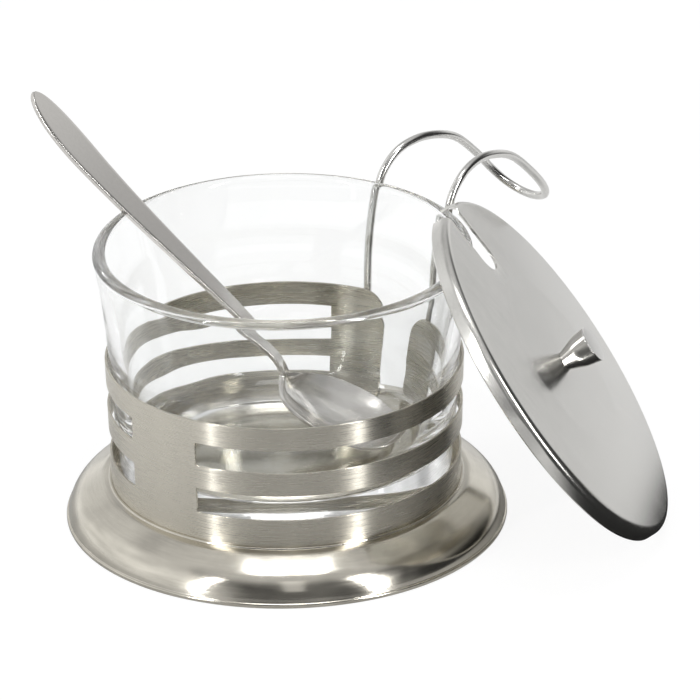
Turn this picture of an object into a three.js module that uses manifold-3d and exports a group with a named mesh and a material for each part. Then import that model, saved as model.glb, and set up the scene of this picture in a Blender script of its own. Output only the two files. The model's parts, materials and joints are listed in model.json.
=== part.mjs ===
// Sugar bowl: a glass liner in a slotted steel holder with a wire handle, a loose lid and a teaspoon.
//
// Millimetres, +Z up. The origin is on the bowl's axis, at the underside of the holder's floor,
// and +Y points to the wire handle. The table is at z = TABLE_Z.

import * as THREE from 'three';
import { mergeVertices } from 'three/addons/utils/BufferGeometryUtils.js';
import Module from 'manifold-3d';

const wasm = await Module();
wasm.setup();

const { PI, cos, sin, sqrt } = Math;
const rad = THREE.MathUtils.degToRad;

// ---- driving dimensions -------------------------------------------------------------------

const GAP = 0.3;                  // clearance between neighbouring pieces
const SHEET = 0.6;                // thickness of the pressed steel
const ROUND_STEPS = 60;           // facets around the axis
const CUT_MARGIN = 3;             // how far a cutter reaches past what it cuts

// holder base
const TABLE_Z = -10.4;            // underside of the foot
const FOOT_R = 57.5;
const FOOT_LIP = 1.4;             // height of the upright edge of the foot
const SHOULDER_PULL = [56.6, -1.1];         // radius and height that shape the shoulder
const SHOULDER_PULL_INSIDE = [55.9, -1.7];

// slotted band
const BAND_BOTTOM_R = 45.5;       // outer radius at the base
const BAND_TOP_R = 46.4;          // outer radius at the top edge
const BAND_BOTTOM_Z = SHEET + GAP;
const BAND_TOP_Z = 34.6;
const SLOT_ROWS = [[8.6, 15.5], [21.9, 28.3]];
const SLOT_FRONT_DEG = 14;        // slots start this far from the front, -Y
const SLOT_BACK_DEG = 27.4;       // and stop this far from the handle, +Y
const BAND_OPENING = 11;          // width of the opening under the handle
const BAND_CORNER_R = 7;

// wire handle
const WIRE_R = 1.1;
const LEG_OFFSET = 12.4;          // each leg from the middle plane
const LEG_BOTTOM_Z = 12;
const TIP_Y = 95.4;               // far end of the loop
const TIP_Z = 48.8;

// glass bowl
const RIM_R = 48.8;
const RIM_Z = 64.9;
const GLASS_WALL = 3.5;
const GLASS_BOTTOM_Z = SHEET + GAP;
const GLASS_FLOOR_Z = 8.8;        // inside floor, above a thick bottom

// lid
const LID_R = 49.9;
const LID_EDGE = 4.7;             // height of the skirt
const LID_CROWN = 1.7;            // rise of the dome above the skirt
const LID_ROUND = 1;
const NOTCH_HALF = 4.8;
const NOTCH_FLARE = 4.2;          // rounding of the mouth on the side of the handle
const NOTCH_CORNER = 1.5;         // rounding of the mouth on the other side
const NOTCH_TIP_R = 30;
const NOTCH_DEG = 172;
const SCREW_HOLE_R = 1.8;

// the lid leans on the rim with its foot on the table
const LEAN_TILT = rad(54.5);
const LEAN_AZIMUTH = rad(38.5);

// knob and its screw
const KNOB_WAIST_R = 2.7;
const KNOB_HEAD_R = 4.9;
const KNOB_HEIGHT = 8.8;
const SCREW_R = 1.4;
const SCREW_HEAD_R = 3;
const SCREW_HEAD_H = 1.8;
const SCREW_FLAT_R = 1.8;         // flat middle of the head
const SCREW_CHAMFER = 0.4;
const SCREW_REACH = 5;            // screw length inside the knob

// teaspoon
const SPOON_SLOPE = rad(43);      // handle above the horizontal
const SPOON_AZIMUTH = rad(200.9);
const SPOON_BACK = 6.6;           // spoon's plane from the bowl's axis
const SPOON_ALONG = -13;          // bowl's middle along that plane
const SPOON_HANDLE = 89.4;        // handle, from the neck to the end
const SPOON_BOW = 4.3;            // sag of the handle's pull point near its end
const SPOON_SHEET = 1.3;
const SPOON_BOWL = 42.8;          // bowl, along the middle line
const SPOON_BOWL_HALF = 14.7;
const SPOON_BOWL_DEPTH = 5.1;
const SPOON_NECK_HALF = 1.9;
const SPOON_END_HALF = 7;         // half width that the taper aims at, before the end is rounded
const SPOON_END_ROUND = 22;       // length of the rounded end
const SPOON_TIP_HALF = 1;         // least half width, at both ends
const TIP_POWER = 0.5;            // an ellipse on the side of the tip
const SHOULDER_POWER = 0.62;      // more pointed on the side of the neck
const TAPER_POWER = 1.2;          // the handle widens faster towards its end
const DISH_POWER = 1.2;

// ---- materials ----------------------------------------------------------------------------

const brushedSteel = () => new THREE.MeshStandardMaterial(
  { color: 0xb4b2aa, roughness: 0.34, metalness: 1 });
const polishedSteel = () => new THREE.MeshStandardMaterial(
  { color: 0xc6c5bf, roughness: 0.14, metalness: 1 });
const clearGlass = () => new THREE.MeshStandardMaterial(
  { color: 0xf2f6f5, roughness: 0.04, metalness: 0, transparent: true, opacity: 0.35 });

// ---- helpers ------------------------------------------------------------------------------

const v2 = (x, y) => new THREE.Vector2(x, y);

// A round piece about +Z. The outline is (radius, height), counter-clockwise.
function turned(outline, steps = ROUND_STEPS) {
  return new THREE.LatheGeometry(outline, steps).rotateX(PI / 2);
}

function arc(cx, cy, r, fromDeg, toDeg, steps) {
  return Array.from({ length: steps + 1 }, (_, i) => {
    const a = rad(fromDeg + (toDeg - fromDeg) * i / steps);
    return v2(cx + r * cos(a), cy + r * sin(a));
  });
}

function curved(from, pull, to, steps) {
  return new THREE.QuadraticBezierCurve(from, pull, to).getPoints(steps);
}

function toSolid(geometry) {
  const bare = geometry.clone();
  bare.deleteAttribute('normal');
  bare.deleteAttribute('uv');
  const merged = mergeVertices(bare, 1e-4);
  return new wasm.Manifold(new wasm.Mesh({
    numProp: 3,
    vertProperties: new Float32Array(merged.attributes.position.array),
    triVerts: new Uint32Array(merged.index.array),
  }));
}

function toGeometry(solid) {
  const mesh = solid.getMesh();
  const geometry = new THREE.BufferGeometry();
  geometry.setAttribute('position', new THREE.BufferAttribute(mesh.vertProperties, 3));
  geometry.setIndex(new THREE.BufferAttribute(mesh.triVerts, 1));
  geometry.computeVertexNormals();
  return geometry;
}

function cut(geometry, cutters) {
  return toGeometry(cutters.reduce((solid, c) => solid.subtract(toSolid(c)), toSolid(geometry)));
}

function node(name, geometry, material) {
  const mesh = new THREE.Mesh(geometry, material);
  mesh.name = name;
  return mesh;
}

// ---- holder -------------------------------------------------------------------------------

// One pressing: a flat floor inside a rounded shoulder that ends in the foot.
function holderBase() {
  const inset = FOOT_R - SHEET;
  const edge = TABLE_Z + FOOT_LIP;
  const shoulder = curved(v2(FOOT_R, edge), v2(...SHOULDER_PULL), v2(BAND_BOTTOM_R, SHEET), 6);
  const under = curved(v2(BAND_BOTTOM_R, 0), v2(...SHOULDER_PULL_INSIDE), v2(inset, edge), 6);
  return turned([
    v2(0, 0),
    ...under,
    v2(inset, TABLE_Z),
    v2(FOOT_R, TABLE_Z),
    ...shoulder,
    v2(0, SHEET),
  ]);
}

// A block that removes one slot from the band.
function slotCutter(fromDeg, toDeg, z0, z1) {
  const shape = new THREE.Shape();
  const outside = BAND_TOP_R + CUT_MARGIN;
  const inside = BAND_BOTTOM_R - SHEET - CUT_MARGIN;
  shape.absarc(0, 0, outside, rad(fromDeg), rad(toDeg), false);
  shape.absarc(0, 0, inside, rad(toDeg), rad(fromDeg), true);
  const block = new THREE.ExtrudeGeometry(shape, {
    depth: z1 - z0,
    bevelEnabled: false,
    curveSegments: 22,
  });
  return block.translate(0, 0, z0);
}

// The opening under the handle, flared at the top by the rounded corners of the strip.
function openingCutter() {
  const half = BAND_OPENING / 2;
  const r = BAND_CORNER_R;
  const above = BAND_TOP_Z + CUT_MARGIN;
  const depth = 4 * CUT_MARGIN;   // the strip curves away from the opening
  const shape = new THREE.Shape();
  shape.moveTo(-half, 0);
  shape.lineTo(half, 0);
  shape.lineTo(half, BAND_TOP_Z - r);
  shape.absarc(half + r, BAND_TOP_Z - r, r, PI, PI / 2, true);
  shape.lineTo(half + r, above);
  shape.lineTo(-half - r, above);
  shape.lineTo(-half - r, BAND_TOP_Z);
  shape.absarc(-half - r, BAND_TOP_Z - r, r, PI / 2, 0, true);
  shape.closePath();
  const block = new THREE.ExtrudeGeometry(shape, { depth, bevelEnabled: false, curveSegments: 6 });
  return block.rotateX(PI / 2).translate(0, BAND_TOP_R + CUT_MARGIN, 0);
}

function slottedBand() {
  const strip = turned([
    v2(BAND_BOTTOM_R - SHEET, BAND_BOTTOM_Z),
    v2(BAND_BOTTOM_R, BAND_BOTTOM_Z),
    v2(BAND_TOP_R, BAND_TOP_Z),
    v2(BAND_TOP_R - SHEET, BAND_TOP_Z),
    v2(BAND_BOTTOM_R - SHEET, BAND_BOTTOM_Z),
  ], 72);
  const slots = SLOT_ROWS.flatMap(([z0, z1]) => [
    slotCutter(-90 + SLOT_FRONT_DEG, 90 - SLOT_BACK_DEG, z0, z1),
    slotCutter(90 + SLOT_BACK_DEG, 270 - SLOT_FRONT_DEG, z0, z1),
  ]);
  return cut(strip, [...slots, openingCutter()]);
}

// One bent wire: two legs on the outside of the band, an arch, and a loop that closes at the tip.
function wireHandle() {
  const legY = sqrt((BAND_TOP_R + WIRE_R + GAP) ** 2 - LEG_OFFSET ** 2);
  const side = [
    [LEG_OFFSET, legY, LEG_BOTTOM_Z],
    [LEG_OFFSET, legY, BAND_TOP_Z + 2],
    [LEG_OFFSET, legY + 0.7, 48],
    [LEG_OFFSET, 48.9, 59],
    [12.2, 51.2, 65.6],
    [11.7, 56.3, 70.2],
    [10.9, 62.6, 71.8],
    [10.3, 69.2, 71.2],
    [9.9, 76.8, 68.4],
    [9.8, 84.4, 62],
    [9.3, 90.6, 55.2],
    [7.2, TIP_Y - 1.8, 51.4],
    [3.8, TIP_Y - 0.4, 49.4],
  ];
  const right = side.map(([x, y, z]) => new THREE.Vector3(x, y, z));
  const left = side.map(([x, y, z]) => new THREE.Vector3(-x, y, z)).reverse();
  const path = new THREE.CatmullRomCurve3(
    [...right, new THREE.Vector3(0, TIP_Y, TIP_Z), ...left], false, 'centripetal');
  const section = new THREE.Shape().absarc(0, 0, WIRE_R, 0, 2 * PI, false);
  return new THREE.ExtrudeGeometry(section, {
    steps: 84,
    curveSegments: 4,
    bevelEnabled: false,
    extrudePath: path,
  });
}

// ---- glass --------------------------------------------------------------------------------

function glassBowl() {
  const lip = GLASS_WALL / 2;
  return turned([
    v2(0, GLASS_BOTTOM_Z),
    ...curved(v2(37, GLASS_BOTTOM_Z), v2(42.4, GLASS_BOTTOM_Z), v2(43.2, 6.5), 4),
    v2(45.3, BAND_TOP_Z),
    v2(47.3, 55),
    ...arc(RIM_R - lip, RIM_Z - lip, lip, 0, 180, 6),
    v2(43.4, 52),
    v2(40.6, 24),
    ...curved(v2(39.4, 16.5), v2(38.6, GLASS_FLOOR_Z + 0.4), v2(31, GLASS_FLOOR_Z), 4),
    v2(0, GLASS_FLOOR_Z),
  ], 56);
}

// ---- lid ----------------------------------------------------------------------------------

// Height of the dome above the skirt at a given radius.
const crownAt = (r) => LID_CROWN * (1 - (r / (LID_R - LID_ROUND)) ** 2);

// A slot from the edge inwards, round at the tip and with a rounded mouth.
function notchCutter() {
  const f = NOTCH_FLARE;
  const c = NOTCH_CORNER;
  const outside = LID_R + f;
  const shape = new THREE.Shape();
  shape.absarc(NOTCH_TIP_R + NOTCH_HALF, 0, NOTCH_HALF, PI / 2, 3 * PI / 2, false);
  shape.lineTo(LID_R - f, -NOTCH_HALF);
  shape.absarc(LID_R - f, -NOTCH_HALF - f, f, PI / 2, 0, true);
  shape.lineTo(outside, -NOTCH_HALF - f);
  shape.lineTo(outside, NOTCH_HALF + c);
  shape.lineTo(LID_R, NOTCH_HALF + c);
  shape.absarc(LID_R - c, NOTCH_HALF + c, c, 0, -PI / 2, true);
  shape.closePath();
  const depth = LID_EDGE + LID_CROWN + 2 * CUT_MARGIN;
  const block = new THREE.ExtrudeGeometry(shape, { depth, bevelEnabled: false, curveSegments: 8 });
  return block.translate(0, 0, -CUT_MARGIN).rotateZ(rad(NOTCH_DEG));
}

// The lid in its own frame: the skirt stands on z = 0 and the knob side is up.
function lidDisc() {
  const top = LID_EDGE;
  const domeSteps = [38, 20];     // radii at which the dome's profile has a point
  const inner = LID_R - SHEET;
  const shell = turned([
    v2(SCREW_HOLE_R, top + crownAt(SCREW_HOLE_R) - SHEET),
    ...domeSteps.toReversed().map((r) => v2(r, top + crownAt(r) - SHEET)),
    v2(LID_R - LID_ROUND, top - SHEET),
    v2(inner, top - LID_ROUND),
    v2(inner, 0),
    v2(LID_R, 0),
    ...arc(LID_R - LID_ROUND, top - LID_ROUND, LID_ROUND, 0, 90, 2),
    ...domeSteps.map((r) => v2(r, top + crownAt(r))),
    v2(SCREW_HOLE_R, top + crownAt(SCREW_HOLE_R)),
    v2(SCREW_HOLE_R, top + crownAt(SCREW_HOLE_R) - SHEET),
  ]);
  return cut(shell, [notchCutter()]);
}

function lidKnob() {
  const z = LID_EDGE + LID_CROWN + GAP;
  const bore = SCREW_R + GAP;
  return turned([
    v2(bore, z),
    v2(KNOB_WAIST_R, z),
    v2(KNOB_WAIST_R, z + 0.8),
    ...curved(v2(KNOB_WAIST_R + 0.2, z + 1.4), v2(3.6, z + 3.6), v2(KNOB_HEAD_R - 0.2, z + 5.6), 3),
    v2(KNOB_HEAD_R, z + KNOB_HEIGHT - 0.5),
    v2(KNOB_HEAD_R - 0.5, z + KNOB_HEIGHT - 0.1),
    v2(0, z + KNOB_HEIGHT),
    v2(0, z + SCREW_REACH + GAP),
    v2(bore, z + SCREW_REACH + GAP),
    v2(bore, z),
  ], 24);
}

function knobScrew() {
  const underLid = LID_EDGE + LID_CROWN - SHEET - GAP;
  const tip = LID_EDGE + LID_CROWN + GAP + SCREW_REACH;
  return turned([
    v2(0, underLid - SCREW_HEAD_H),
    ...curved(v2(SCREW_FLAT_R, underLid - SCREW_HEAD_H), v2(SCREW_HEAD_R, underLid - SCREW_HEAD_H),
      v2(SCREW_HEAD_R, underLid - 0.5), 3),
    v2(SCREW_HEAD_R, underLid),
    v2(SCREW_R, underLid),
    v2(SCREW_R, tip - SCREW_CHAMFER),
    v2(SCREW_R - SCREW_CHAMFER, tip),
    v2(0, tip),
  ], 16);
}

// ---- teaspoon -----------------------------------------------------------------------------

// The spoon's middle line in its own upright plane: x runs to the handle's end, and z = 0 is
// the lowest point of the bowl.
const bowlTip = v2(-18.5, 3.9);
const bowlBack = v2(15.3, 12);
const neck = v2(19.9, 23.4);
const alongHandle = v2(cos(SPOON_SLOPE), sin(SPOON_SLOPE));
const handleEnd = neck.clone().addScaledVector(alongHandle, SPOON_HANDLE);
const handlePulls = [
  neck.clone().addScaledVector(alongHandle, SPOON_HANDLE / 3),
  neck.clone().addScaledVector(alongHandle, SPOON_HANDLE * 2 / 3)
    .add(v2(alongHandle.y, -alongHandle.x).multiplyScalar(SPOON_BOW)),
];
const spoonLine = new THREE.CurvePath();
spoonLine.add(new THREE.CubicBezierCurve(bowlTip, v2(-12, -6.2), v2(11.5, 6), bowlBack));
spoonLine.add(new THREE.CubicBezierCurve(bowlBack, v2(18, 16.2), v2(14.9, 18.7), neck));
spoonLine.add(new THREE.CubicBezierCurve(neck, ...handlePulls, handleEnd));
const spoonRun = spoonLine.getLength();

// Half width of the oval bowl, with the middle of the bowl at 0 and its ends at -1 and 1.
function bowlHalfWidth(oval) {
  const power = oval > 0 ? SHOULDER_POWER : TIP_POWER;
  return SPOON_BOWL_HALF * Math.max(0, 1 - oval * oval) ** power;
}

// Half width of the handle at a distance along the middle line.
function handleHalfWidth(s) {
  const taper = Math.max(0, (s - SPOON_BOWL) / (spoonRun - SPOON_BOWL));
  const toEnd = Math.min(1, (spoonRun - s) / SPOON_END_ROUND);
  const rounding = sqrt(Math.max(0, 1 - (1 - toEnd) ** 2));
  return (SPOON_NECK_HALF + (SPOON_END_HALF - SPOON_NECK_HALF) * taper ** TAPER_POWER) * rounding;
}

// Half width at a distance along the middle line. The bowl runs smoothly into the handle.
function spoonHalfWidth(s) {
  const oval = 2 * s / SPOON_BOWL - 1;
  const bowl = bowlHalfWidth(oval);
  const both = oval > 0 ? Math.cbrt(bowl ** 3 + handleHalfWidth(s) ** 3) : bowl;
  return Math.max(both, SPOON_TIP_HALF);
}

// How far the bowl's edge stands above the middle line.
function spoonDish(s) {
  const t = THREE.MathUtils.clamp(s / (SPOON_BOWL + 4), 0, 1);
  return SPOON_BOWL_DEPTH * sin(PI * t) ** DISH_POWER;
}

function teaspoon() {
  const box = new THREE.BoxGeometry(1, 1, 1, 44, 6, 1);
  const at = box.attributes.position;
  for (let i = 0; i < at.count; i++) {
    const u = at.getX(i) + 0.5;
    const across = at.getY(i) * 2;
    const face = at.getZ(i) * SPOON_SHEET;
    const s = u * spoonRun;
    const p = spoonLine.getPointAt(u);
    const t = spoonLine.getTangentAt(u);
    const lift = face + spoonDish(s) * across * across;
    at.setXYZ(i, p.x - t.y * lift, spoonHalfWidth(s) * across, p.y + t.x * lift);
  }
  box.computeVertexNormals();
  return box;
}

// ---- assembly -----------------------------------------------------------------------------

// The lid's inner face rests against the outside of the rim, and its lowest point on the table.
function leaningLid() {
  const lip = GLASS_WALL / 2;
  const contactHeight = LID_EDGE - SHEET + crownAt(LID_R * 0.8);
  const reach = contactHeight - lip - GAP;
  const rimCentre = v2(RIM_R - lip, RIM_Z - lip - TABLE_Z);
  const footX = rimCentre.x - (reach - rimCentre.y * cos(LEAN_TILT)) / sin(LEAN_TILT);
  const centreX = footX - LID_R * cos(LEAN_TILT);
  const lid = new THREE.Group();
  lid.rotation.y = LEAN_TILT;
  lid.position.set(centreX, 0, TABLE_Z + LID_R * sin(LEAN_TILT));
  lid.add(node('lid_disc', lidDisc(), brushedSteel()));
  lid.add(node('lid_knob', lidKnob(), polishedSteel()));
  lid.add(node('knob_screw', knobScrew(), polishedSteel()));
  const turn = new THREE.Group();
  turn.rotation.z = LEAN_AZIMUTH;
  turn.add(lid);
  return turn;
}

function restingSpoon() {
  const spoon = node('teaspoon', teaspoon(), polishedSteel());
  spoon.position.set(SPOON_ALONG, -SPOON_BACK, GLASS_FLOOR_Z + SPOON_SHEET / 2 + GAP);
  const turn = new THREE.Group();
  turn.rotation.z = SPOON_AZIMUTH;
  turn.add(spoon);
  return turn;
}

const sugarBowl = new THREE.Group();
sugarBowl.add(node('holder_base', holderBase(), polishedSteel()));
sugarBowl.add(node('slotted_band', slottedBand(), brushedSteel()));
sugarBowl.add(node('wire_handle', wireHandle(), polishedSteel()));
sugarBowl.add(node('glass_bowl', glassBowl(), clearGlass()));
sugarBowl.add(leaningLid());
sugarBowl.add(restingSpoon());

export default sugarBowl;
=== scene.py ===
"""Looks of the sugar bowl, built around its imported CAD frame.

Metres, +Z up, the origin at the underside of the holder's floor, +Y to the wire handle.
Each CAD node is replaced by a finely shaped piece that takes its sizes and its place from
the node, and every piece gets a procedural metal or glass material.
"""

import json
import math

import bmesh
import bpy
from mathutils import Matrix, Vector
from mathutils.geometry import interpolate_bezier


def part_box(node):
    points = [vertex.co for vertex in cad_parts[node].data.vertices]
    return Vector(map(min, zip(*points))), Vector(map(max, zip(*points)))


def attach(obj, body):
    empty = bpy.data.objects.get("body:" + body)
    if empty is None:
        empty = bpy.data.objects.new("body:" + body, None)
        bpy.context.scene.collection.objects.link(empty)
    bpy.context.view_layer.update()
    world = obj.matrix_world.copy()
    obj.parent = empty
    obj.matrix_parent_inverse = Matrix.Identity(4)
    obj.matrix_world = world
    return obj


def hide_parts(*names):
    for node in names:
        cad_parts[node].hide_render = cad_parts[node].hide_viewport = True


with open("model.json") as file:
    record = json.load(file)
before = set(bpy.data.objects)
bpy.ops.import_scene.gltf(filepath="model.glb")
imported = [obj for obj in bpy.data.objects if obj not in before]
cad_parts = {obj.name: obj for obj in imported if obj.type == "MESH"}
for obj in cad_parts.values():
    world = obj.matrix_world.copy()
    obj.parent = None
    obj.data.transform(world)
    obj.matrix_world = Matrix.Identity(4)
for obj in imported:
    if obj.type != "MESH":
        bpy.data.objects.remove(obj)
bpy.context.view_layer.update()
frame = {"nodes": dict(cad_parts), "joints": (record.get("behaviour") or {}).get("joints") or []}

MM = 0.001
ROUND = 160              # steps around the bowl's axis
LID_ROUND = 220          # steps around the lid's axis
SMALL_ROUND = 96         # steps around the knob and its screw
SHEET = 0.6 * MM         # thickness of the pressed steel
SHARP = math.radians(32)         # an edge bent by more than this stays sharp
TURNED_SHARP = math.radians(40)  # the same for the knob and its screw
SMOOTH_SHARP = math.radians(60)  # and for the wire, the glass and the teaspoon

AXES = {joint["name"]: Vector(joint["axis"]).normalized() for joint in frame["joints"]}
TABLE_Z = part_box("holder_base")[0].z


# ---- mesh tools -----------------------------------------------------------------------------

def polar(radius, angle, z=0.0):
    return Vector((radius * math.cos(angle), radius * math.sin(angle), z))


def to_object(bm, name, sharp=SHARP):
    """Closes a bmesh into an object with smooth shading up to the sharp angle."""
    bmesh.ops.remove_doubles(bm, verts=bm.verts, dist=1e-7)
    bmesh.ops.recalc_face_normals(bm, faces=bm.faces)
    for face in bm.faces:
        face.smooth = True
    for edge in bm.edges:
        edge.smooth = edge.is_manifold and edge.calc_face_angle() < sharp
    mesh = bpy.data.meshes.new(name)
    bm.to_mesh(mesh)
    bm.free()
    obj = bpy.data.objects.new(name, mesh)
    bpy.context.scene.collection.objects.link(obj)
    return obj


def skin(rings, wrap=False):
    """A bmesh through closed rings of points. A ring of one point is a pole."""
    bm = bmesh.new()
    made = [[bm.verts.new(p) for p in ring] for ring in rings]
    pairs = list(zip(made, made[1:])) + ([(made[-1], made[0])] if wrap else [])
    for a, b in pairs:
        n = max(len(a), len(b))
        for i in range(n):
            j = (i + 1) % n
            corners = [a[i % len(a)], a[j % len(a)], b[j % len(b)], b[i % len(b)]]
            bm.faces.new(list(dict.fromkeys(corners)))
    return bm


def turn(outline, steps=ROUND):
    """A bmesh turned about +Z. The outline is (radius, z), from the axis back to the axis, or
    a loop that closes on itself."""
    loop = outline[0][0] > 0
    rings = []
    for radius, z in outline:
        count = steps if radius > 0 else 1
        rings.append([polar(radius, math.tau * i / count, z) for i in range(count)])
    return skin(rings, wrap=loop)


def rounded(corners, steps=8):
    """A polyline through (x, y, radius) corners, each rounded by an arc of that radius."""
    points = []
    last = len(corners) - 1
    for i, (x, y, radius) in enumerate(corners):
        here = Vector((x, y))
        if radius == 0 or i in (0, last):
            points.append(tuple(here))
            continue
        back = (Vector(corners[i - 1][:2]) - here).normalized()
        ahead = (Vector(corners[i + 1][:2]) - here).normalized()
        half = back.angle(ahead) / 2
        start = here + back * (radius / math.tan(half))
        middle = here + (back + ahead).normalized() * (radius / math.sin(half))
        sweep = math.pi - 2 * half
        side = 1 if back.x * ahead.y - back.y * ahead.x < 0 else -1
        for k in range(steps + 1):
            turned = Matrix.Rotation(side * sweep * k / steps, 2) @ (start - middle)
            points.append(tuple(middle + turned))
    return points


def smooth_line(knots, steps):
    """Points along a centripetal curve through the knots."""
    ends = [knots[0] * 2 - knots[1]] + knots + [knots[-1] * 2 - knots[-2]]
    spans = list(zip(ends, ends[1:], ends[2:], ends[3:]))
    points = []
    for p0, p1, p2, p3 in spans:
        d = [math.sqrt((b - a).length) for a, b in ((p0, p1), (p1, p2), (p2, p3))]
        m1 = (p1 - p0) / d[0] - (p2 - p0) / (d[0] + d[1]) + (p2 - p1) / d[1]
        m2 = (p2 - p1) / d[1] - (p3 - p1) / (d[1] + d[2]) + (p3 - p2) / d[2]
        handles = (p1, p1 + m1 * d[1] / 3, p2 - m2 * d[1] / 3, p2)
        points += interpolate_bezier(*handles, steps // len(spans) + 1)[:-1]
    return points + [knots[-1]]


def scaled(points, unit=MM):
    return [tuple(value * unit for value in point) for point in points]


def put(obj, place):
    """Moves obj's mesh to its place. Each vertex keeps where it was as the attribute "own",
    which the materials follow."""
    own = obj.data.attributes.new("own", "FLOAT_VECTOR", "POINT")
    own.data.foreach_set("vector", [c for v in obj.data.vertices for c in v.co])
    obj.data.transform(place)
    return obj


def cut(obj, cutter):
    """Takes the cutter's shape out of obj and deletes the cutter."""
    change = obj.modifiers.new("cut", "BOOLEAN")
    change.operation = "DIFFERENCE"
    change.solver = "EXACT"
    change.object = cutter
    apply_modifiers(obj)
    bpy.data.objects.remove(cutter)


def apply_modifiers(obj):
    """Makes the shape that obj's modifiers give its own."""
    graph = bpy.context.evaluated_depsgraph_get()
    final = bpy.data.meshes.new_from_object(obj.evaluated_get(graph))
    obj.modifiers.clear()
    obj.data = final


def soften(obj, width, sharp=SHARP):
    """Rounds obj's sharp edges a little and shades all its faces smooth."""
    edge = obj.modifiers.new("edge", "BEVEL")
    edge.width = width
    edge.segments = 2
    edge.limit_method = "ANGLE"
    edge.angle_limit = sharp
    apply_modifiers(obj)
    for polygon in obj.data.polygons:
        polygon.use_smooth = True


def prism(outline, z0, z1):
    """A bmesh of a straight solid between two heights, from a flat outline of (x, y) points."""
    low = [Vector((x, y, z0)) for x, y in outline]
    high = [Vector((x, y, z1)) for x, y in outline]
    bm = skin([low, high])
    bm.verts.ensure_lookup_table()
    n = len(outline)
    bm.faces.new(bm.verts[:n])
    bm.faces.new(bm.verts[n:])
    return bm


def corner(node, axis):
    """The largest coordinate of a CAD node along X, Y or Z, in millimetres."""
    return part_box(node)[1]["XYZ".index(axis)] / MM


def middle(node):
    """The mean of a CAD node's vertices. It is on the axis of a turned piece."""
    points = [v.co for v in frame["nodes"][node].data.vertices]
    return sum(points, Vector()) / len(points)


# ---- holder ---------------------------------------------------------------------------------

BAND_TAPER = 0.9         # the band's top is this much wider in radius than its bottom
SLOT_ROWS = ((8.0, 14.9), (21.3, 27.7))    # above the band's bottom edge
SLOT_FRONT = math.radians(14)              # slots start this far from the front
SLOT_BACK = math.radians(152.6)            # and end this far from it
OPENING_HALF = 5.5       # half the gap between the strip's ends, under the handle
STRIP_CORNER = 7.0       # rounding of the strip's two upper corners
COLUMN_STEP = math.radians(2)
CORNER_STEPS = 10
BAND_SOFT = 0.12         # rounding of the strip's edges


def holder_base():
    foot = corner("holder_base", "X")
    band = corner("slotted_band", "X") - BAND_TAPER
    table = TABLE_Z / MM
    sheet = SHEET / MM
    outside = [
        (foot - 0.75, table, 0.0),
        (foot, table, 0.45),
        (foot, table + 1.1, 0.45),
        (foot - 0.45, table + 1.3, 0.3),
        (foot - 1.5, -4.4, 9.0),
        (band + 2.2, 0.45, 5.0),
        (band + 0.8, 0.72, 0.15),
        (band + 0.7, 1.15, 0.3),
        (band + 0.05, 1.15, 0.1),
        (band, sheet, 0.0),
    ]
    inside = [
        (band, 0.0, 0.5),
        (band + 2.4, -0.35, 5.0),
        (foot - 2.3, -4.9, 9.0),
        (foot - 1.1, table + 1.3, 0.3),
        (foot - 0.75, table, 0.0),
    ]
    outline = [(0.0, 0.0)] + rounded([(1.0, 0.0, 0.0)] + inside)
    outline += rounded(outside)[1:] + [(0.0, sheet)]
    return put(to_object(turn(scaled(outline)), "base_shell"), Matrix())


def band_columns():
    """Angles from the front, round to the handle, of the band's columns on one side."""
    end = math.pi - OPENING_HALF / corner("slotted_band", "X")
    corner_angle = STRIP_CORNER / corner("slotted_band", "X")
    angles = {0.0, SLOT_FRONT, SLOT_BACK, end}
    for start, stop in ((0, SLOT_FRONT), (SLOT_FRONT, SLOT_BACK), (SLOT_BACK, end - corner_angle)):
        count = math.ceil((stop - start) / COLUMN_STEP)
        angles |= {start + (stop - start) * i / count for i in range(1, count)}
    quarter = [math.pi / 2 * i / CORNER_STEPS for i in range(CORNER_STEPS + 1)]
    angles |= {end - corner_angle * (1 - math.cos(a)) for a in quarter}
    return sorted(angles)


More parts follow.
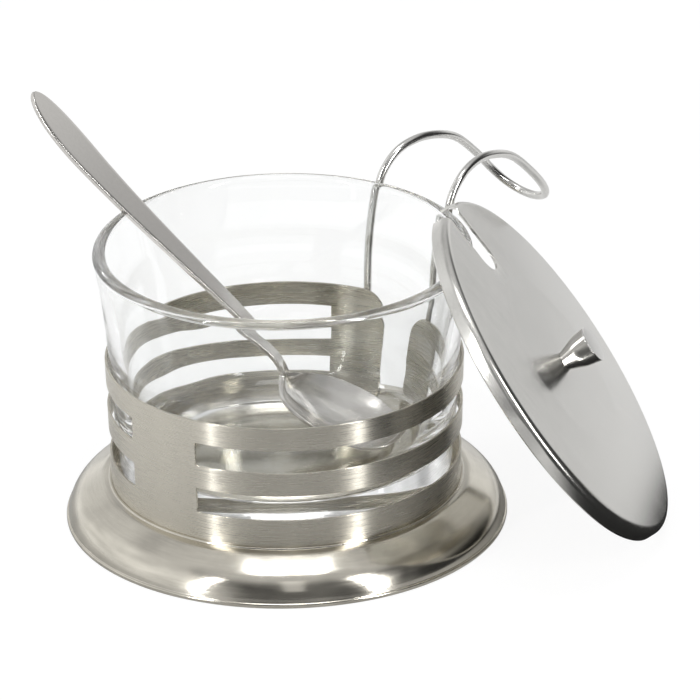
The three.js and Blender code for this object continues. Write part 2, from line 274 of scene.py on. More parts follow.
def slotted_band():
    top_radius = corner("slotted_band", "X")
    low = SHEET / MM
    tall = corner("slotted_band", "Z") - low
    side = band_columns()
    angles = [-a for a in reversed(side[1:])] + side
    end = side[-1]
    heights = [0.0] + [z for row in SLOT_ROWS for z in row] + [tall]
    extra = [(a + b) / 2 for a, b in zip(heights, heights[1:])]
    heights = sorted(heights + extra)

    def place(angle, height, inward):
        from_end = (end - abs(angle)) * top_radius
        drop = 0.0
        if from_end < STRIP_CORNER:
            drop = STRIP_CORNER - math.sqrt(STRIP_CORNER ** 2 - (STRIP_CORNER - from_end) ** 2)
        height *= (tall - drop) / tall
        radius = top_radius - BAND_TAPER * (1 - height / tall) - inward
        return polar(radius * MM, angle - math.pi / 2, (low + height) * MM)

    def in_slot(angle, height):
        across = SLOT_FRONT < abs(angle) < SLOT_BACK
        return across and any(z0 < height < z1 for z0, z1 in SLOT_ROWS)

    bm = bmesh.new()
    outer = [[bm.verts.new(place(a, h, 0)) for h in heights] for a in angles]
    inner = [[bm.verts.new(place(a, h, SHEET / MM)) for h in heights] for a in angles]
    cells = [
        (i, k)
        for i in range(len(angles) - 1)
        for k in range(len(heights) - 1)
        if not in_slot((angles[i] + angles[i + 1]) / 2, (heights[k] + heights[k + 1]) / 2)
    ]
    solid = set(cells)
    for i, k in cells:
        loop = [(i, k), (i + 1, k), (i + 1, k + 1), (i, k + 1)]
        bm.faces.new([outer[a][b] for a, b in loop])
        bm.faces.new([inner[a][b] for a, b in reversed(loop)])
        beside = [(i, k - 1), (i + 1, k), (i, k + 1), (i - 1, k)]
        for (a, b), neighbour in zip(zip(loop, loop[1:] + loop[:1]), beside):
            if neighbour not in solid:
                wall = [(outer, a), (inner, a), (inner, b), (outer, b)]
                bm.faces.new([grid[column][row] for grid, (column, row) in wall])
    loose = [v for v in bm.verts if not v.link_faces]
    bmesh.ops.delete(bm, geom=loose, context="VERTS")
    obj = to_object(bm, "band_strip")
    soften(obj, BAND_SOFT * MM)
    return put(obj, Matrix())


WIRE_RADIUS = 1.1
WIRE_END = 0.82          # the ends are rounded to this share of the radius
LEG_OFFSET = 12.4        # of each leg from the middle
WIRE_STEPS = 260
WIRE_SIDES = 20


def wire_handle():
    tip = corner("wire_handle", "Y") - WIRE_RADIUS
    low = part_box("wire_handle")[0].z / MM
    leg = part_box("wire_handle")[0].y / MM + WIRE_RADIUS
    top = corner("slotted_band", "Z")
    side = [
        (LEG_OFFSET, leg, low),
        (LEG_OFFSET, leg, top + 2),
        (LEG_OFFSET, leg + 0.7, top + 13.4),
        (LEG_OFFSET, 48.9, top + 24.4),
        (12.2, 51.2, top + 31.0),
        (11.7, 56.3, top + 35.6),
        (10.9, 62.6, top + 37.2),
        (10.3, 69.2, top + 36.6),
        (9.9, 76.8, top + 33.8),
        (9.8, 84.4, top + 27.4),
        (9.3, 90.6, top + 20.6),
        (7.2, tip - 1.8, top + 16.8),
        (3.8, tip - 0.4, top + 14.8),
    ]
    right = [Vector(p) for p in side]
    left = [Vector((-x, y, z)) for x, y, z in reversed(side)]
    points = smooth_line(right + [Vector((0, tip, top + 14.2))] + left, WIRE_STEPS)
    rings = []
    across = Vector((0, 1, 0))
    for i, point in enumerate(points):
        along = (points[min(i + 1, len(points) - 1)] - points[max(i - 1, 0)]).normalized()
        across = (across - along * across.dot(along)).normalized()
        other = along.cross(across)
        to_end = min(i, len(points) - 1 - i)
        radius = WIRE_RADIUS * (WIRE_END if to_end == 0 else 1)
        turns = [math.tau * k / WIRE_SIDES for k in range(WIRE_SIDES)]
        rings.append([point + (across * math.cos(a) + other * math.sin(a)) * radius for a in turns])
    rings = [[points[0]]] + rings + [[points[-1]]]
    rings = [[p * MM for p in ring] for ring in rings]
    return put(to_object(skin(rings), "wire_loop", SMOOTH_SHARP), Matrix())


# ---- glass ----------------------------------------------------------------------------------

RIM_ROUND = 1.75
RIM_STEPS = 16
GLASS_FLOOR = 8.7        # height of the floor inside
HOLLOW_FOOT = 0.7        # the middle of the underside is this much higher than its ring
OUTSIDE = ((44.6, 22), (45.3, 34), (46.2, 45), (47.2, 54), (48.1, 59.5))
INSIDE = ((44.7, 59), (44.0, 54), (43.2, 47), (42.3, 38), (41.1, 28), (39.6, 19.5), (37.2, 13.2),
          (33.4, 10.0), (28.5, 8.9), (20, GLASS_FLOOR), (10, GLASS_FLOOR))


def glass_bowl():
    rim = corner("glass_bowl", "X")
    top = corner("glass_bowl", "Z")
    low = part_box("glass_bowl")[0].z / MM
    foot = rounded([
        (20.0, low + HOLLOW_FOOT, 0.0),
        (30.5, low + HOLLOW_FOOT, 3.0),
        (33.0, low, 3.0),
        (42.8, low, 5.5),
        (44.0, 14.0, 0.0),
    ])
    lip = [polar(RIM_ROUND, math.pi * i / RIM_STEPS) for i in range(RIM_STEPS + 1)]
    lip = [(rim - RIM_ROUND + p.x, top - RIM_ROUND + p.y) for p in lip]
    knots = foot[-1:] + list(OUTSIDE) + lip[:1]
    outer = smooth_line([Vector((x, 0, z)) for x, z in knots], 100)
    knots = lip[-1:] + list(INSIDE) + [(0.0, GLASS_FLOOR)]
    inner = smooth_line([Vector((x, 0, z)) for x, z in knots], 150)
    outline = [(0.0, low + HOLLOW_FOOT)] + foot[:-1] + [(p.x, p.z) for p in outer[:-1]] + lip
    outline += [(p.x, p.z) for p in inner[1:-1]] + [(0.0, inner[-1].z)]
    return put(to_object(turn(scaled(outline)), "glass_liner", SMOOTH_SHARP), Matrix())


# ---- lid ------------------------------------------------------------------------------------

LID_EDGE = 4.7           # height of the skirt
LID_CROWN = 1.7          # rise of the dome above it
DOME_HALFWAY = 0.78      # share of the crown that is reached at half the radius
LID_SOFT = 0.14          # rounding of the lid's cut edges
NOTCH_HALF = 4.8
NOTCH_FLARE = 4.2        # rounding of the mouth on the side of the handle
NOTCH_CORNER = 1.5       # rounding of the mouth on the other side
NOTCH_TIP = 30.0         # of the notch's round end from the axis
NOTCH_TURN = math.radians(172)
NOTCH_DEPTH = (-2, 12)   # heights that the notch is cut between
MOUTH_STEPS = 10
TIP_STEPS = 24


def lid_frame():
    """The lid's own frame: its axis is +Z, its skirt stands on z = 0, and +X points down."""
    axis = AXES["lid_lift"]
    centre = middle("knob_screw")
    points = [v.co for v in frame["nodes"]["lid_disc"].data.vertices]
    skirt = min(p.dot(axis) for p in points)
    origin = centre + axis * (skirt - centre.dot(axis))
    side = Vector((0, 0, 1)).cross(axis).normalized()
    down = side.cross(axis)
    radius = max((p - origin).cross(axis).length for p in points)
    turned = Matrix((down, side, axis)).transposed().to_4x4()
    return Matrix.Translation(origin) @ turned, radius / MM


def lid_disc(place, radius):
    edge, crown, sheet = LID_EDGE, LID_CROWN, SHEET / MM
    outside = [
        (radius, 0.35, 0.0),
        (radius, edge, 2.2),
        (radius * 0.5, edge + crown * DOME_HALFWAY, 60.0),
        (1.0, edge + crown, 0.0),
    ]
    inside = [
        (1.0, edge + crown - sheet, 0.0),
        (radius * 0.5, edge + crown * DOME_HALFWAY - sheet, 60.0),
        (radius - sheet, edge - sheet, 1.6),
        (radius - sheet, 0.35, 0.0),
        (radius - sheet / 2, 0.0, 0.3),
    ]
    body = [(0.0, edge + crown - sheet)] + rounded(inside, 10)
    body += rounded(outside, 10) + [(0.0, edge + crown)]
    disc = to_object(turn(scaled(body), LID_ROUND), "lid_plate")
    half = NOTCH_HALF
    far = radius + 4
    half_turn = [math.pi * i / TIP_STEPS for i in range(TIP_STEPS + 1)]
    outline = [(NOTCH_TIP + half - half * math.sin(a), half * math.cos(a)) for a in half_turn]
    quarter = [math.pi / 2 * i / MOUTH_STEPS for i in range(MOUTH_STEPS + 1)]
    for side, flare, turns in ((-1, NOTCH_FLARE, quarter), (1, NOTCH_CORNER, quarter[::-1])):
        mouth = [(radius - flare + flare * math.sin(a), side * (half + flare - flare * math.cos(a)))
                 for a in turns]
        beyond = [(far, side * (half + flare))]
        outline += mouth + beyond if side < 0 else beyond + mouth
    low, high = NOTCH_DEPTH
    cutter = to_object(prism(scaled(outline), low * MM, high * MM), "notch_cutter")
    cutter.data.transform(Matrix.Rotation(NOTCH_TURN, 4, "Z"))
    cut(disc, cutter)
    soften(disc, LID_SOFT * MM)
    return put(disc, place)


SEAT_GAP = 0.02          # keeps pieces that touch from sharing a face
KNOB_TALL = 9.1
SCREW_TALL = 2.0         # of the screw's head under the lid
DRIVE_HALF = (1.6, 0.3)  # half length and half width of each slot of the cross
DRIVE_FLOOR = 1.1        # of the cross, below the lid


def lid_knob(place):
    base = LID_EDGE + LID_CROWN
    outline = rounded([
        (2.2, base + SEAT_GAP, 0.0),
        (2.6, base + SEAT_GAP, 0.12),
        (2.75, base + 0.5, 0.5),
        (4.3, base + 4.6, 9.0),
        (4.95, base + 8.85, 0.3),
        (4.5, base + 9.0, 0.3),
        (0.6, base + KNOB_TALL, 0.0),
    ], 10)
    outline = [(0.0, base + SEAT_GAP)] + outline + [(0.0, base + KNOB_TALL)]
    knob = to_object(turn(scaled(outline), SMALL_ROUND), "knob_turned", TURNED_SHARP)
    return put(knob, place)


def knob_screw(place):
    under = LID_EDGE + LID_CROWN - SHEET / MM
    outline = rounded([
        (0.6, under - SCREW_TALL, 0.0),
        (2.6, under - 1.9, 1.3),
        (3.0, under - 0.4, 0.5),
        (3.0, under - SEAT_GAP, 0.1),
        (0.6, under - SEAT_GAP, 0.0),
    ], 8)
    outline = [(0.0, under - SCREW_TALL)] + outline + [(0.0, under - SEAT_GAP)]
    screw = to_object(turn(scaled(outline), SMALL_ROUND), "screw_head", TURNED_SHARP)
    long, wide = DRIVE_HALF
    bar = scaled([(-long, -wide), (long, -wide), (long, wide), (-long, wide)])
    for quarter in (0, math.pi / 2):
        cutter = to_object(prism(bar, (under - 3) * MM, (under - DRIVE_FLOOR) * MM), "drive")
        cutter.data.transform(Matrix.Rotation(quarter, 4, "Z"))
        cut(screw, cutter)
    for polygon in screw.data.polygons:
        polygon.use_smooth = True
    return put(screw, place)


# ---- teaspoon -------------------------------------------------------------------------------

SPOON_SLOPE = math.radians(43)
HANDLE = 89.4            # from the neck to the end
HANDLE_BOW = 4.3
BOWL = 42.8              # length of the bowl along the middle line
BOWL_HALF = 14.7
BOWL_DEEP = 5.1
NECK_HALF = 1.9
END_HALF = 7.0           # half width that the taper aims at, before the end is rounded
END_ROUND = 22.0
TIP_POWER = 0.5          # an ellipse on the side of the tip
SHOULDER_POWER = 0.62    # more pointed on the side of the neck
TAPER_POWER = 1.2
DISH_POWER = 1.2
DISH_PAST = 4.0          # the dish runs this far past the bowl, into the neck
SPOON_THICK = 1.3
SPOON_EDGE = 0.4         # rounding of the spoon's edges
SPOON_STEPS = 220
SPOON_CROWD = 0.35       # how much closer the steps are at both ends
CURVE_STEPS = 80


def spoon_line():
    """Points of the spoon's middle line in its own upright plane, in millimetres."""
    tip = Vector((-18.5, 0, 3.9))
    back = Vector((15.3, 0, 12))
    neck = Vector((19.9, 0, 23.4))
    along = Vector((math.cos(SPOON_SLOPE), 0, math.sin(SPOON_SLOPE)))
    sag = Vector((along.z, 0, -along.x)) * HANDLE_BOW
    curves = [
        [tip, Vector((-12, 0, -6.2)), Vector((11.5, 0, 6)), back],
        [back, Vector((18, 0, 16.2)), Vector((14.9, 0, 18.7)), neck],
        [neck, neck + along * (HANDLE / 3), neck + along * (HANDLE * 2 / 3) + sag,
         neck + along * HANDLE],
    ]
    points = []
    for curve in curves:
        points += interpolate_bezier(*curve, CURVE_STEPS)[:-1]
    return points + [neck + along * HANDLE]


def walk(points, distance):
    """The point and the direction at a distance along a polyline."""
    for a, b in zip(points, points[1:]):
        step = (b - a).length
        if distance <= step:
            return a.lerp(b, distance / step), (b - a).normalized()
        distance -= step
    return points[-1], (points[-1] - points[-2]).normalized()


def spoon_half_width(s, length):
    oval = 2 * s / BOWL - 1
    power = SHOULDER_POWER if oval > 0 else TIP_POWER
    bowl = BOWL_HALF * max(0.0, 1 - oval * oval) ** power
    if oval < 0:
        return bowl
    taper = max(0.0, (s - BOWL) / (length - BOWL))
    handle = NECK_HALF + (END_HALF - NECK_HALF) * taper ** TAPER_POWER
    to_end = min(1.0, (length - s) / END_ROUND)
    handle *= math.sqrt(max(0.0, 1 - (1 - to_end) ** 2))
    return (bowl ** 3 + handle ** 3) ** (1 / 3)


def teaspoon():
    toward_handle = Vector((AXES["spoon_lift"].x, AXES["spoon_lift"].y, 0)).normalized()
    side = Vector((0, 0, 1)).cross(toward_handle)
    cad = [v.co for v in frame["nodes"]["teaspoon"].data.vertices]
    tip = min(p.dot(toward_handle) for p in cad)
    low = min(p.z for p in cad)
    across = [p.dot(side) for p in cad]
    line = spoon_line()
    length = sum((b - a).length for a, b in zip(line, line[1:]))
    thick = SPOON_THICK / 2
    rings = []
    for i in range(SPOON_STEPS + 1):
        u = i / SPOON_STEPS
        s = length * (u - SPOON_CROWD / math.tau * math.sin(math.tau * u))
        p, t = walk(line, s)
        normal = Vector((-t.z, 0, t.x))
        half = max(spoon_half_width(s, length), thick * 1.02)
        dish = BOWL_DEEP * math.sin(math.pi * min(1.0, s / (BOWL + DISH_PAST))) ** DISH_POWER
        edge = min(SPOON_EDGE, half * 0.9)
        flat = half - edge
        rise = thick - SPOON_EDGE
        top_face = [(flat * (1 - k / 6), thick) for k in range(13)]
        turns = [math.pi / 2 * k / 5 for k in range(1, 5)]
        shoulder = [(-flat - edge * math.sin(a), rise + SPOON_EDGE * math.cos(a)) for a in turns]
        side_face = [(-half, rise), (-half, -rise)]
        corner_half = top_face + shoulder + side_face + [(x, -z) for x, z in reversed(shoulder)]
        ring = corner_half + [(-x, -z) for x, z in corner_half]
        rings.append([
            p + Vector((0, x, 0)) + normal * (z + dish * (x / half) ** 2) for x, z in ring
        ])
    p0, t0 = walk(line, 0)
    p1, t1 = walk(line, length)
    rings = [[p0 - t0 * thick * 0.5]] + rings + [[p1 + t1 * thick * 0.5]]
    rings = [[q * MM for q in ring] for ring in rings]
    spoon = to_object(skin(rings), "spoon_blank", SMOOTH_SHARP)
    turned = Matrix((toward_handle, side, Vector((0, 0, 1)))).transposed().to_4x4()
    shift = min(v.co.x for v in spoon.data.vertices)
    lateral = (min(across) + max(across)) / 2
    drop = min(v.co.z for v in spoon.data.vertices)
    place = toward_handle * (tip - shift) + side * lateral
    place.z = low - drop
    return put(spoon, Matrix.Translation(place) @ turned)


# ---- materials ------------------------------------------------------------------------------

def node(tree, kind, *links, **settings):
    """Adds a shader node. Each link is (input, value or socket)."""
    made = tree.nodes.new("ShaderNode" + kind)
    for key, value in settings.items():
        setattr(made, key, value)
    for name, value in links:
        if isinstance(value, bpy.types.NodeSocket):
            tree.links.new(value, made.inputs[name])
        else:
            made.inputs[name].default_value = value
    return made


def calc(tree, operation, a, b=0.0, clamp=False):
    return node(tree, "Math", (0, a), (1, b), operation=operation, use_clamp=clamp).outputs[0]


def spread(tree, value, low, high):
    """Maps 0.3 to 0.7, the usual range of a noise, to low to high."""
    made = node(tree, "MapRange", ("Value", value), ("From Min", 0.3), ("From Max", 0.7),
                ("To Min", low), ("To Max", high))
    return made.outputs[0]


def own_place(tree):
    """Where the surface is in the frame that its piece was made in."""
    return node(tree, "Attribute", attribute_name="own").outputs["Vector"]


def noise(tree, vector, detail=2.0):
    made = node(tree, "TexNoise", ("Vector", vector), ("Scale", 1.0), ("Detail", detail))
    return made.outputs[0]


def stretched_noise(tree, vector, scale, detail=2.0):
    made = node(tree, "VectorMath", (0, vector), (1, scale), operation="MULTIPLY")
    return noise(tree, made.outputs[0], detail)


def round_grain(tree, around, across):
    """A vector that runs slowly around the Z axis and fast across the brushing."""
    place = own_place(tree)
    flat = node(tree, "VectorMath", (0, place), (1, (1, 1, 0)), operation="MULTIPLY").outputs[0]
    radius = node(tree, "VectorMath", (0, flat), operation="LENGTH").outputs["Value"]
    unit = node(tree, "VectorMath", (0, flat), operation="NORMALIZE").outputs[0]
    parts = node(tree, "SeparateXYZ", (0, unit)).outputs
    z = node(tree, "SeparateXYZ", (0, place)).outputs[2]
    x = calc(tree, "MULTIPLY", parts[0], around)
    y = calc(tree, "MULTIPLY", parts[1], around)
    z = calc(tree, "MULTIPLY", calc(tree, "ADD", z, radius), across)
    return node(tree, "CombineXYZ", (0, x), (1, y), (2, z)).outputs[0]


def straight_grain(tree, along, across):
    """A vector that runs slowly along X and fast along Y and Z."""
    place = own_place(tree)
    return node(tree, "Mapping", ("Vector", place), ("Scale", (along, across, across))).outputs[0]


BROAD_GRAIN = 0.22                # the broad brushing is this share as fine as the fine one
CLOUD_SCALE = (75, 75, 75)
EDGE_POINTINESS = (0.52, 0.6)     # where an outer edge begins, and where it is full
EDGE_POLISH = 0.1                 # outer edges are rubbed smoother by this share
GRAIN_DEPTH = 0.02 * MM


def steel(name, color, roughness, grain, relief, anisotropy=0.0, tangent=None, patchy=0.08):
    """Bare steel. grain(tree, k) gives the vector of the brushing, k times as fine. tangent is
    the way the brushing runs: "round" the Z axis, or a direction. patchy is how much the
    polish changes from place to place."""
    material = bpy.data.materials.new(name)
    material.use_nodes = True
    tree = material.node_tree
    shader = tree.nodes["Principled BSDF"]
    fine = noise(tree, grain(tree, 1.0), 2.0)
    broad = noise(tree, grain(tree, BROAD_GRAIN), 2.0)
    cloud = stretched_noise(tree, own_place(tree), CLOUD_SCALE, 4.0)
    edge = node(tree, "MapRange", ("Value", node(tree, "NewGeometry").outputs["Pointiness"]),
                ("From Min", EDGE_POINTINESS[0]), ("From Max", EDGE_POINTINESS[1])).outputs[0]
    rough = calc(tree, "MULTIPLY", spread(tree, fine, 0.9, 1.1), spread(tree, broad, 0.93, 1.07))
    rough = calc(tree, "MULTIPLY", rough, spread(tree, cloud, 1 - patchy, 1 + patchy))
    rough = calc(tree, "MULTIPLY", rough, roughness)
    rubbed = calc(tree, "MULTIPLY", edge, EDGE_POLISH * roughness)
    rough = calc(tree, "SUBTRACT", rough, rubbed, clamp=True)
    tint = calc(tree, "MULTIPLY", spread(tree, fine, 0.97, 1.03), spread(tree, broad, 0.975, 1.025))
    tint = calc(tree, "MULTIPLY", tint, spread(tree, cloud, 1 - patchy / 4, 1 + patchy / 4))
    base = node(tree, "VectorMath", (0, color), ("Scale", tint), operation="SCALE").outputs[0]
    height = calc(tree, "ADD", fine, calc(tree, "MULTIPLY", broad, 0.8))
    bump = node(tree, "Bump", ("Strength", relief), ("Distance", GRAIN_DEPTH), ("Height", height))
    links = {
        "Base Color": base,
        "Roughness": rough,
        "Normal": bump.outputs[0],
    }
    if tangent == "round":
        links["Tangent"] = node(tree, "Tangent", direction_type="RADIAL", axis="Z").outputs[0]
    elif tangent:
        along = node(tree, "VectorTransform", (0, tangent), vector_type="VECTOR",
                     convert_from="OBJECT", convert_to="WORLD")
        links["Tangent"] = along.outputs[0]
    for socket, value in links.items():
        tree.links.new(value, shader.inputs[socket])
    shader.inputs["Metallic"].default_value = 1.0
    shader.inputs["Anisotropic"].default_value = anisotropy
    shader.inputs["Anisotropic Rotation"].default_value = 0.25
    return material


WAVE_SCALE = (45, 45, 30)
WAVE_DEPTH = 0.12 * MM
FILM_SCALE = (160, 160, 160)
FILM_ROUGHNESS = 0.02
GLASS_TINT = (0.985, 0.992, 0.99, 1)
GLASS_IOR = 1.5


def clear_glass(name):
    """Clear pressed glass with the faint waves of its mould and an uneven film."""
    material = bpy.data.materials.new(name)
    material.use_nodes = True
    tree = material.node_tree
    shader = tree.nodes["Principled BSDF"]
    place = own_place(tree)
    wave = noise(tree, node(tree, "Mapping", ("Vector", place), ("Scale", WAVE_SCALE)).outputs[0])
    bump = node(tree, "Bump", ("Strength", 0.2), ("Distance", WAVE_DEPTH), ("Height", wave))
    tree.links.new(bump.outputs[0], shader.inputs["Normal"])
    film = noise(tree, node(tree, "Mapping", ("Vector", place), ("Scale", FILM_SCALE)).outputs[0])
    tree.links.new(spread(tree, film, 0.0, FILM_ROUGHNESS), shader.inputs["Roughness"])
    shader.inputs["Base Color"].default_value = GLASS_TINT
    shader.inputs["Transmission Weight"].default_value = 1.0
    shader.inputs["IOR"].default_value = GLASS_IOR
    return material


WARM_STEEL = (0.66, 0.627, 0.55)
COOL_STEEL = (0.75, 0.742, 0.72)
LID_STEEL = (0.73, 0.72, 0.69)
SPOON_STEEL = (0.68, 0.66, 0.63)

LID_PLACE, LID_RADIUS = lid_frame()
ALONG_LID = tuple(LID_PLACE.col[1][:3])
ALONG_SPOON = tuple(Vector((-AXES["spoon_lift"].y, AXES["spoon_lift"].x, 0)).normalized())

LOOKS = {
    "base": steel(
        "pressed_steel", WARM_STEEL, 0.15, lambda tree, k: round_grain(tree, 6, 5200 * k),
        relief=0.12, anisotropy=0.3, tangent="round", patchy=0.35),
    "band": steel(
        "band_steel", WARM_STEEL, 0.28, lambda tree, k: round_grain(tree, 6, 9000 * k),
        relief=0.012, anisotropy=1.0, tangent="round", patchy=0.05),
    "lid": steel(
        "lid_plate_steel", LID_STEEL, 0.22, lambda tree, k: straight_grain(tree, 90, 7500 * k),
        relief=0.2, anisotropy=0.6, tangent=ALONG_LID, patchy=0.12),
    "wire": steel(
        "wire_steel", COOL_STEEL, 0.17, lambda tree, k: straight_grain(tree, 500 * k, 900 * k),
        relief=0.06),
    "knob": steel(
        "knob_steel", COOL_STEEL, 0.05, lambda tree, k: round_grain(tree, 3, 5500 * k),
        relief=0.06, anisotropy=0.2, tangent="round"),
    "screw": steel(
        "screw_steel", COOL_STEEL, 0.18, lambda tree, k: round_grain(tree, 3, 5500 * k),
        relief=0.1),
    "spoon": steel(
        "spoon_blank_steel", SPOON_STEEL, 0.17, lambda tree, k: straight_grain(tree, 120, 6500 * k),
        relief=0.12, anisotropy=0.3, tangent=ALONG_SPOON),
    "glass": clear_glass("clear_pressed_glass"),
}


# ---- assembly -------------------------------------------------------------------------------

def finish_piece(obj, look, body, slot, *cad_nodes):
    obj.data.materials.clear()
    obj.data.materials.append(LOOKS[look])
    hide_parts(*cad_nodes)
    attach(obj, body)


finish_piece(holder_base(), "base", "holder", "satin_steel", "holder_base")
finish_piece(slotted_band(), "band", "holder", "brushed_steel", "slotted_band")
finish_piece(wire_handle(), "wire", "holder", "polished_steel", "wire_handle")
finish_piece(glass_bowl(), "glass", "glass", "clear_glass", "glass_bowl")
finish_piece(lid_disc(LID_PLACE, LID_RADIUS), "lid", "lid", "lid_steel", "lid_disc")
finish_piece(lid_knob(LID_PLACE), "knob", "lid", "polished_steel", "lid_knob")
finish_piece(knob_screw(LID_PLACE), "screw", "lid", "polished_steel", "knob_screw")
finish_piece(teaspoon(), "spoon", "spoon", "spoon_steel", "teaspoon")


# ---- studio ---------------------------------------------------------------------------------

VIEW_TURN = math.radians(-46)     # direction from the axis to the camera, from +X
TO_CAMERA = tuple(polar(1, VIEW_TURN))
TO_RIGHT = tuple(polar(1, VIEW_TURN + math.pi / 2))

FRONT = (0.14, 0.04)              # brightness around the camera, to the left and to the right
SWEEP = (0.95, 0.62)              # of the back, low and high
PANEL = (0.8, 0.12)               # of the back at the right, low and high
LEFT = 0.9
CEILING = 0.65
UNEVEN = (0.72, 1.2)
UNEVEN_SCALE = (2.2, 2.2, 3.4)
BEHIND = (0.25, 1.0)              # seen through the glass, on the camera's side and behind
BEHIND_ROOM = 0.35                # share of the room in it, above the table
STREAKS = (0.5, 1.15)
STREAK_SCALE = (5, 5, 1.5)


def ramp(tree, value, start, stop, low=0.0, high=1.0):
    """Goes smoothly from low to high while value goes from start to stop."""
    made = node(tree, "MapRange", ("Value", value), ("From Min", start), ("From Max", stop),
                ("To Min", low), ("To Max", high), interpolation_type="SMOOTHSTEP")
    return made.outputs[0]


def blend(tree, share, a, b):
    return node(tree, "Mix", (0, share), (2, a), (3, b)).outputs[0]


def reach(tree, vector, way):
    """How far a vector goes along a direction."""
    return node(tree, "VectorMath", (0, vector), (1, way), operation="DOT_PRODUCT").outputs["Value"]


def studio_world():
    """White for the camera. Reflections see an uneven room: bright on the left and at the back,
    dark around the camera and high at the right. What is seen through the glass is a white
    sweep with streaks that darkens toward the camera's side."""
    world = bpy.data.worlds.new("studio")
    bpy.context.scene.world = world
    world.use_nodes = True
    tree = world.node_tree
    tree.nodes.clear()
    ray = node(tree, "TexCoord").outputs["Generated"]
    z = node(tree, "SeparateXYZ", (0, ray)).outputs[2]
    toward = reach(tree, ray, TO_CAMERA)
    right = reach(tree, ray, TO_RIGHT)
    front = ramp(tree, right, 0.35, 0.8, *FRONT)
    sweep = ramp(tree, z, -0.1, 0.5, *SWEEP)
    panel = ramp(tree, z, 0.3, 0.6, *PANEL)
    sweep = blend(tree, ramp(tree, right, 0.15, 0.5), sweep, panel)
    room = blend(tree, ramp(tree, toward, -0.2, -0.6), front, sweep)
    room = blend(tree, ramp(tree, right, -0.3, -0.8), room, LEFT)
    room = blend(tree, ramp(tree, z, 0.65, 0.95), room, CEILING)
    uneven = stretched_noise(tree, ray, UNEVEN_SCALE)
    room = calc(tree, "MULTIPLY", room, spread(tree, uneven, *UNEVEN))
    behind = ramp(tree, toward, 0.6, -0.1, *BEHIND)
    behind = blend(tree, ramp(tree, z, 0.1, 0.35, 0.0, BEHIND_ROOM), behind, room)
    streaks = stretched_noise(tree, ray, STREAK_SCALE)
    behind = calc(tree, "MULTIPLY", behind, spread(tree, streaks, *STREAKS))
    path = node(tree, "LightPath").outputs
    through = calc(tree, "MAXIMUM", path["Is Transmission Ray"], path["Is Singular Ray"])
    unseen = blend(tree, through, room, behind)
    strength = blend(tree, path["Is Camera Ray"], unseen, 1.0)
    back = node(tree, "Background", ("Color", (1, 1, 1, 1)), ("Strength", strength))
    out = node(tree, "OutputWorld")
    tree.links.new(back.outputs[0], out.inputs[0])


LIGHTS_AIM = Vector((0, 0, 0.03))


def softbox(name, turn_deg, up_deg, distance, width, height, power):
    """An area light that faces the bowl from a direction, unseen by the camera."""
    lamp = bpy.data.lights.new(name, "AREA")
    lamp.shape = "RECTANGLE"
    lamp.size = width
    lamp.size_y = height
    lamp.energy = power
    obj = bpy.data.objects.new(name, lamp)
    bpy.context.scene.collection.objects.link(obj)
    turn_angle = math.radians(turn_deg)
    up_angle = math.radians(up_deg)
    way = polar(math.cos(up_angle), turn_angle, math.sin(up_angle))
    obj.location = way * distance + LIGHTS_AIM
    obj.rotation_euler = way.to_track_quat("Z", "Y").to_euler()
    obj.visible_camera = False


FLOOR_SIZE = 1.5                  # half the side of the table top
FLOOR_CENTRE = 0.5                # brightness in reflections under the bowl: painted shade, darker than at the sides and back
FLOOR_LEFT = 0.85
FLOOR_RIGHT = 0.75
FLOOR_BACK = 0.9
# painted shade: the near-black patch that reflections see on the table in front at the right
FLOOR_PAINTED_SHADE = 0.03
FLOOR_SEEN = 0.9                  # for the camera
GLOW = 1.06
GLOW_SHARE = 0.85


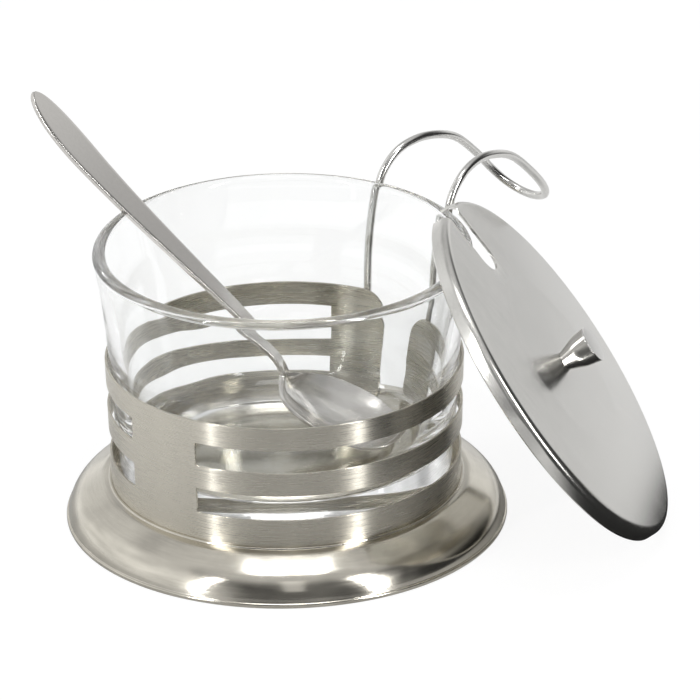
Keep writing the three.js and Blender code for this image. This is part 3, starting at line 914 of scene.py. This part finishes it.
def floor():
    """A wide white table top, nearly as white as what is around it for the camera and through
    the glass. Reflections see it graded with painted light and shade, darker under the bowl
    than to the left, the right and the back, and with a dark patch of painted shade in front at the
    right."""
    bm = bmesh.new()
    bmesh.ops.create_grid(bm, x_segments=8, y_segments=8, size=FLOOR_SIZE)
    obj = to_object(bm, "table_top")
    obj.location.z = TABLE_Z - 0.05 * MM
    material = bpy.data.materials.new("white_table")
    material.use_nodes = True
    tree = material.node_tree
    tree.nodes.clear()
    place = node(tree, "NewGeometry").outputs["Position"]
    toward = reach(tree, place, TO_CAMERA)
    right = reach(tree, place, TO_RIGHT)
    # where the patch of painted shade lies, in front at the right, for reflections only
    dark = calc(tree, "MULTIPLY", ramp(tree, right, 0.066, 0.082), ramp(tree, toward, -0.05, -0.01))
    # painted light and shade for reflections: darker under the bowl, lighter to the left, right and
    # back
    grey = blend(tree, ramp(tree, right, -0.04, -0.12), FLOOR_CENTRE, FLOOR_LEFT)
    grey = blend(tree, ramp(tree, right, 0.03, 0.06), grey, FLOOR_RIGHT)
    grey = blend(tree, ramp(tree, toward, -0.03, -0.08), grey, FLOOR_BACK)
    grey = blend(tree, dark, grey, FLOOR_PAINTED_SHADE)
    path = node(tree, "LightPath").outputs
    grey = blend(tree, path["Is Camera Ray"], grey, FLOOR_SEEN)
    matt = node(tree, "BsdfDiffuse", ("Color", grey))
    glow = node(tree, "Emission", ("Color", (1, 1, 1, 1)), ("Strength", GLOW))
    seen = calc(tree, "MAXIMUM", path["Is Camera Ray"], path["Is Transmission Ray"])
    seen = calc(tree, "MAXIMUM", seen, path["Is Singular Ray"])
    share = calc(tree, "MULTIPLY", seen, GLOW_SHARE)
    mixed = node(tree, "MixShader", (0, share), (1, matt.outputs[0]), (2, glow.outputs[0]))
    out = node(tree, "OutputMaterial")
    tree.links.new(mixed.outputs[0], out.inputs[0])
    obj.data.materials.append(material)


CAMERA_DISTANCE = 1.56888         # from the point on the table under the bowl's middle
CAMERA_RISE = math.radians(26.07)
CAMERA_PITCH = math.radians(24.56)
CAMERA_YAW = math.radians(0.69)
CAMERA_ROLL = math.radians(-0.73)
LENS = 308.6
SENSOR = 36.0
CLIP_END = 50


def camera():
    """A long lens that looks down at the bowl from a good metre and a half away."""
    distance, rise = CAMERA_DISTANCE, CAMERA_RISE
    pitch, yaw, roll = CAMERA_PITCH, CAMERA_YAW, CAMERA_ROLL
    place = Vector((0, -distance * math.cos(rise), distance * math.sin(rise)))
    ahead = Vector((math.sin(yaw) * math.cos(pitch), math.cos(yaw) * math.cos(pitch), -math.sin(pitch)))
    right = ahead.cross(Vector((0, 0, 1))).normalized()
    up = right.cross(ahead)
    side = right * math.cos(roll) + up * math.sin(roll)
    head = up * math.cos(roll) - right * math.sin(roll)
    pose = Matrix((side, head, -ahead)).transposed().to_4x4()
    pose.translation = place
    lens = bpy.data.cameras.new("camera")
    lens.lens = LENS
    lens.sensor_width = SENSOR
    lens.clip_end = CLIP_END
    obj = bpy.data.objects.new("camera", lens)
    bpy.context.scene.collection.objects.link(obj)
    spin = Matrix.Rotation(math.pi / 2 + VIEW_TURN, 4, "Z")
    obj.matrix_world = Matrix.Translation((0, 0, TABLE_Z)) @ spin @ pose
    bpy.context.scene.camera = obj


studio_world()
# name, turn and height in degrees, distance, width and height in metres, power in watts
softbox("strip_left", -92, 24, 1.2, 0.05, 1.1, 4.8)
softbox("strip_right", -1, 24, 1.2, 0.14, 1.1, 7.5)
softbox("strip_front", -43, 40, 1.3, 0.22, 0.8, 0.3)
softbox("overhead", -46, 87, 1.2, 0.5, 0.32, 2.2)
floor()
camera()
bpy.context.scene.view_settings.view_transform = "Standard"
cycles = bpy.context.scene.cycles
cycles.max_bounces = 40           # light runs far inside the glass wall
cycles.glossy_bounces = 32
cycles.transmission_bounces = 32
